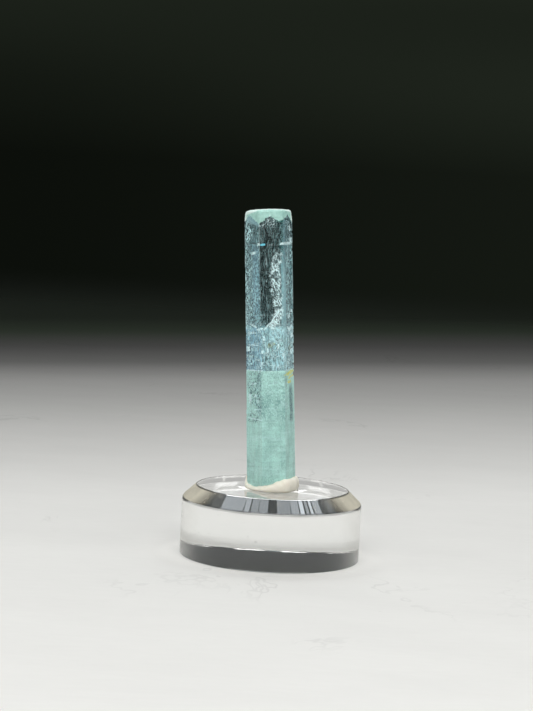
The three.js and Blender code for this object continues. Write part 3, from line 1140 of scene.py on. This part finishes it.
# Direction in degrees, and how far the putty stands out from the crystal there.
PUTTY_PROUD = [
    (8, 0.62), (40, 0.5), (100, 0.5), (150, 0.55), (186, 0.6), (220, 0.75), (250, 0.75),
    (270, 0.8), (295, 0.95), (330, 0.72),
]
# Direction in degrees, and how high the putty's rim climbs there.
PUTTY_RIM = [
    (8, 2.25), (40, 2.5), (80, 1.6), (115, 2.2), (150, 2.5), (180, 2.25), (193, 0.75),
    (215, 0.55), (235, 0.65), (250, 0.9), (268, 1.25), (285, 1.85), (305, 2.3), (335, 2.25),
]
# The putty's outline from its foot outwards and up to its rim, as shares of the two above.
PUTTY_PROFILE = [
    (0.5, 0.0), (0.72, 0.0), (0.86, 0.04), (0.96, 0.14), (1.0, 0.27), (1.0, 0.42),
    (0.95, 0.57), (0.86, 0.70), (0.73, 0.81), (0.56, 0.90), (0.37, 0.96), (0.2, 0.995),
    (0.09, 1.0),
]
UNDER_FOOT_SHARES = (0.96, 0.85, 0.7, 0.5, 0.3, 0.12)


def round_about(entries, directions):
    """Eases between values given at set directions, in degrees, without a seam."""
    angles = np.array([a for a, _ in entries], float)
    values = np.array([v for _, v in entries], float)
    angles = np.concatenate([angles - 360, angles, angles + 360])
    values = np.tile(values, 3)
    d = np.degrees(directions) % 360
    i = np.searchsorted(angles, d, side="right")
    t = ease((d - angles[i - 1]) / (angles[i] - angles[i - 1]))
    return values[i - 1] + (values[i] - values[i - 1]) * t


print("Putty rim climbs to", max(v for _, v in PUTTY_RIM), "mm")

# %% The putty's rings


def putty_rings():
    direction = np.linspace(0, 2 * pi, PUTTY_COLUMNS, endpoint=False)
    from_face = (np.degrees(direction - FIRST_CORNER) % 60) - 30
    reach = FOOT_RADIUS * FACE_SHARE / np.cos(np.radians(from_face))
    rounder = reach + 0.7 * (0.965 * FOOT_RADIUS - reach)
    proud = round_about(PUTTY_PROUD, direction)
    rim = round_about(PUTTY_RIM, direction)
    lump = 1 + 0.06 * np.sin(5 * direction + 0.7) + 0.03 * np.sin(11 * direction)
    rings = []
    for out, up in PUTTY_PROFILE:
        crease = 0.014 * np.sin(17 * direction + 5 * up) + 0.01 * np.sin(31 * direction - 7 * up)
        outline = reach + (rounder - reach) * min(1.0, 1.6 * out)
        radius = outline + proud * out * lump + crease * (0.2 < up < 0.999) * proud
        dent = 0.014 * np.sin(23 * direction + 4 * out) * (up > 0.5)
        rings.append(ring_at(radius, direction, rim * up + dent * rim * 0.5))
    # Down again beside the crystal, then across under its broken foot.
    inner = reach + SNUG

    def under_foot(radius):
        x, y = radius * np.cos(direction), radius * np.sin(direction)
        return break_height(x, y) - SNUG - AXIS_START[2]

    foot = np.minimum(under_foot(inner), rim - 0.02)
    lip = rim * 0.985
    for height in (lip, (lip + foot) / 2, foot):
        rings.append(ring_at(inner, direction, height))
    for share in UNDER_FOOT_SHARES:
        height = np.maximum(under_foot(inner * share), 0.05)
        rings.append(ring_at(inner * share, direction, height))
    return np.array(rings) + np.array(AXIS_START)


putty_stack = putty_rings()
middle = float(break_height(np.zeros(1), np.zeros(1))[0]) - SNUG
putty_mesh = skin(
    "mineral_putty_pressed",
    putty_stack * MM,
    (AXIS_START[0] * MM, AXIS_START[1] * MM, BASE_TOP),
    (AXIS_START[0] * MM, AXIS_START[1] * MM, middle * MM),
)
print("Putty stack is", putty_stack.shape)

# %% White putty
PUTTY_CLEAN = srgb(244, 238, 223)
PUTTY_SOILED = srgb(216, 205, 181)


def white_putty():
    f = new_finish("white_putty")
    place = f.place()
    grain = f.noise(place, 2600, 3)
    press = f.noise(f.stretched(place, (1, 1, 2.2)), 700, 3)
    soiled = f.noise(place, 480, 3).ramp(0.52, 0.75)
    normal = f.bump(press, 0.08 * MM, 0.5, f.bump(grain, 0.03 * MM, 0.35))
    shader = f.principled(
        Base_Color=f.blend_colour(soiled * 0.5, PUTTY_CLEAN, PUTTY_SOILED),
        Roughness=0.5 + 0.2 * grain,
        IOR=1.48,
        Subsurface_Weight=0.15,
        Subsurface_Radius=(1.0, 0.8, 0.6),
        Subsurface_Scale=0.4 * MM,
        Normal=normal,
    )
    return f.show(shader)


putty = piece("mineral_putty_pressed", putty_mesh, white_putty(), 50)
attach(putty, "root")
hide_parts("mineral_putty")

# %% [markdown]
# ## The stage and the light
#
# The floor is a sheet of pale card that darkens with distance, so that the object stands on white
# but its tip shows against near-black. Painting that gradient into the card is surer than hoping
# that a light falls off in just the right way. Its far end fades out, so that no edge shows.

# %% The floor
FLOOR_DROP = 0.05 * MM
FLOOR_HALF = 3.0
# How pale the card is at each distance behind the object, in metres.
CARD_TONES = [
    (-0.60, 0.05), (-0.26, 0.08), (-0.18, 0.80), (0.0, 0.73), (0.06, 0.70), (0.11, 0.59),
    (0.17, 0.475), (0.23, 0.355), (0.29, 0.265), (0.35, 0.108), (0.41, 0.055),
    (0.48, 0.0245), (0.55, 0.0125), (0.8, 0.0085), (2.6, 0.006),
]
CARD_START = CARD_TONES[0][0]
CARD_REACH = CARD_TONES[-1][0] - CARD_START
CARD_WARM = (1.0, 0.99, 0.955)
CARD_DARK = (0.8, 1.06, 0.72)
CARD_COOLS = 0.05  # the tone at which the warm tint gives way to the dark one
CARD_FAN = 0.78  # how much sooner, per metre, the gradient comes on towards the left
CARD_FAN_LEAST = 0.4
CARD_NEAR = 0.35  # metres in front of the object from which the gradient fans out
CARD_FADES = (0.52, 0.86)  # metres behind the object over which the card melts into the dark room
GATHERED_BEHIND = 0.034  # where the clear base gathers light onto the card, just behind itself
GATHERED_REACH = (0.024, 0.008)
# A faint ring of painted light lies on the card round the base. These are distances from the base's
# middle.
LIGHT_RING_START = 15.6 * MM
LIGHT_RING_PEAK = 15.9 * MM
LIGHT_RING_END = 21.0 * MM


def tinted(tone, tint):
    return tuple(tone * c for c in tint)


def card_stops():
    stops = []
    for y, tone in CARD_TONES:
        tint = CARD_WARM if tone > CARD_COOLS else CARD_DARK
        stops.append(((y - CARD_START) / CARD_REACH, tinted(tone, tint)))
    return stops


def pale_card():
    f = new_finish("pale_card")
    place = f.place()
    x, y = f.axis(place, "X"), f.axis(place, "Y")
    fan = (1.0 + CARD_FAN * x).most(CARD_FAN_LEAST)
    spread = (y + CARD_NEAR) / fan - CARD_NEAR
    graded = f.graded((spread - CARD_START) / CARD_REACH, card_stops())
    gathered = distance(x, y - GATHERED_BEHIND).ramp(*GATHERED_REACH)
    from_middle = distance(x, y)
    painted_light_ring = from_middle.ramp(LIGHT_RING_START, LIGHT_RING_PEAK) * from_middle.ramp(LIGHT_RING_END, LIGHT_RING_PEAK)
    soft = f.noise(f.stretched(place, (1, 2.2, 1)), 32, 3, 0.5)
    fibre = f.noise(f.stretched(place, (1, 3.5, 1)), 210, 4, 0.6)
    crossing = f.noise(f.stretched(place, (1, 0.6, 1)), 26, 5, 0.65, 0.5)
    # Creases are painted as faint darker lines, the shade of a fold.
    crease_shade = (crossing - 0.5).size().ramp(0.012, 0.002) * f.noise(place, 15).ramp(0.54, 0.64)
    shade = 1.06 - 0.08 * soft - 0.05 * fibre
    shade = shade * (1.0 + 0.12 * gathered + 0.2 * painted_light_ring) * (1.0 - 0.11 * crease_shade)
    colour = f.add("ShaderNodeVectorMath", {"operation": "SCALE"}, {0: graded, "Scale": shade})
    tooth = f.noise(place, 1400, 3)
    shader = f.principled(
        Base_Color=colour,
        Roughness=0.9,
        Specular_IOR_Level=0.05,
        Alpha=y.ramp(CARD_FADES[1], CARD_FADES[0]),
        Normal=f.bump(tooth, 0.03 * MM, 0.3),
    )
    return f.show(shader)


floor_mesh = bpy.data.meshes.new("floor")
h = FLOOR_HALF
floor_mesh.from_pydata([(-h, -h, 0), (h, -h, 0), (h, h, 0), (-h, h, 0)], [], [(0, 1, 2, 3)])
floor_mesh.materials.append(pale_card())
floor = bpy.data.objects.new("floor", floor_mesh)
floor.location.z = -FLOOR_DROP
bpy.context.scene.collection.objects.link(floor)
print("Floor lies", round(FLOOR_DROP / MM, 3), "mm under the base")

# %% [markdown]
# Two big soft boxes give the light, one high in front and one high behind. The strip of ceiling
# between them stays dark, because the base's bevel mirrors it. A soft light's energy is given
# here by how bright its surface looks, which is what matters where it is seen in something clear.

# %% Soft lights


def soft_light(name, where, towards, size, radiance, colour=(1.0, 1.0, 1.0)):
    """A rectangular soft light. Radiance is how bright its surface looks, with 1.0 as white."""
    lamp = bpy.data.lights.new(name, "AREA")
    lamp.shape = "RECTANGLE"
    lamp.size, lamp.size_y = size
    lamp.energy = radiance * pi * size[0] * size[1]
    lamp.color = colour
    made = bpy.data.objects.new(name, lamp)
    made.location = where
    aim = Vector(towards) - Vector(where)
    made.rotation_euler = aim.to_track_quat("-Z", "Y").to_euler()
    made.visible_camera = False
    bpy.context.scene.collection.objects.link(made)
    print(name, "gives", round(lamp.energy, 2), "W")
    return made


DAYLIGHT = (0.86, 0.93, 1.0)
EVENING = (0.7, 0.92, 1.0)
soft_light("front_softbox", (0.0, -0.62, 0.80), (0, -0.62, 0), (0.90, 0.74), 3.7)
soft_light("back_softbox", (0.0, 0.42, 0.80), (0, 0.42, 0), (0.80, 0.50), 3.5)
soft_light("front_fill", (0.0, -1.1, 0.35), (0, -0.9, 0.26), (1.2, 0.56), 0.9)
soft_light("left_fill", (-0.85, -0.35, 0.40), (0, 0, 0.03), (0.55, 0.5), 1.6)
soft_light("right_fill", (0.85, -0.35, 0.40), (0, 0, 0.03), (0.55, 0.5), 1.8)

# %% [markdown]
# The other lights aren't there to light anything: they are what the clear pieces show. Two low
# panels stand at the sides, where the crystal's side faces look. A thin strip low behind is
# mirrored by the base's flat top. High behind stand panes with dark gaps between them, like a
# window with its bars, and the base's bevel shows those.

# %% Panels that show in the clear pieces
SIDE_TURN = radians(46)
SIDE_AWAY = 0.42
EDGE_TURN = radians(78)
PANEL_RISE = 0.03
STRIP_RISE = 0.337


def side_panel(name, turn, width, radiance, colour):
    where = (SIDE_AWAY * sin(turn), SIDE_AWAY * cos(turn), PANEL_RISE)
    soft_light(name, where, (0, 0, PANEL_RISE), (width, 0.06), radiance, colour)


for name, side in (("left", -1), ("right", 1)):
    side_panel(name + "_panel", side * SIDE_TURN, 0.30, 0.27, DAYLIGHT)
    side_panel(name + "_edge_panel", side * EDGE_TURN, 0.14, 0.62, EVENING)
soft_light("low_strip", (0.0, 2.0, STRIP_RISE), (0, 0, STRIP_RISE), (1.2, 0.042), 1.0)

# Turn to the right of straight behind, in degrees, from and to, and brightness.
PANES = [
    (30, 13.5, 0.33), (13.5, 10.5, 0.40), (10, 6, 0.28), (6, 1.5, 0.28), (-2.5, -9.5, 0.26),
    (-9.5, -14, 0.36), (-14.5, -17, 0.7), (-18, -20, 0.3), (-21, -23, 0.65),
    (-24, -30, 0.36), (-40, -50, 0.1),
]
PANE_AWAY = 0.9
PANE_RISE = radians(41)
PANE_HEIGHT = 0.26
for number, (start, end, brightness) in enumerate(PANES):
    middle = radians((start + end) / 2)
    level = PANE_AWAY * cos(PANE_RISE)
    where = (level * sin(middle), level * cos(middle), PANE_AWAY * sin(PANE_RISE))
    size = (level * radians(start - end), PANE_HEIGHT)
    soft_light(f"pane_{number}", where, (0, 0, 0), size, brightness, DAYLIGHT)

# %% [markdown]
# The room itself is dark, and a little lighter higher up and to the sides. It is a world shader
# that goes by direction, so it is the same from wherever it is seen.

# %% The room
ROOM_TINT_LOW = (0.9, 1.16, 0.8)
ROOM_TINT_HIGH = (0.84, 0.96, 1.0)
TINTS_MEET = 0.15
# Brightness by the height of the direction, as the sine of its elevation.
ROOM_TONES = [
    (0.0, 0.0052), (0.022, 0.008), (0.052, 0.0112), (0.08, 0.0132), (0.14, 0.022),
    (0.2, 0.03), (0.5, 0.05), (1.0, 0.1),
]

world = bpy.data.worlds.new("room")
room = Finish(world, "ShaderNodeOutputWorld")
outwards = room.add("ShaderNodeTexCoord", output="Generated")
upwards = room.axis(outwards, "Z")
sideways = room.axis(outwards, "X").size()
tints = [ROOM_TINT_LOW if rise < TINTS_MEET else ROOM_TINT_HIGH for rise, _ in ROOM_TONES]
stops = [(rise, tinted(tone, tint)) for (rise, tone), tint in zip(ROOM_TONES, tints)]
by_height = room.graded(upwards, stops)
at_sides = 1 + 0.5 * sideways.ramp(0.4, 0.95) * upwards.ramp(0.1, 0.18)
rightwards = room.axis(outwards, "X").ramp(-0.15, 0.15)
uneven = 1 + upwards.ramp(0.08, 0.03) * (0.75 * rightwards - 0.2)
sky = room.add("ShaderNodeBackground", None, {"Color": by_height, "Strength": at_sides * uneven})
room.show(sky)
bpy.context.scene.world = world
bpy.context.scene.view_settings.view_transform = "Standard"
print("Room brightness from", ROOM_TONES[0][1], "to", ROOM_TONES[-1][1])

# %% Finish
print("Scene finished")
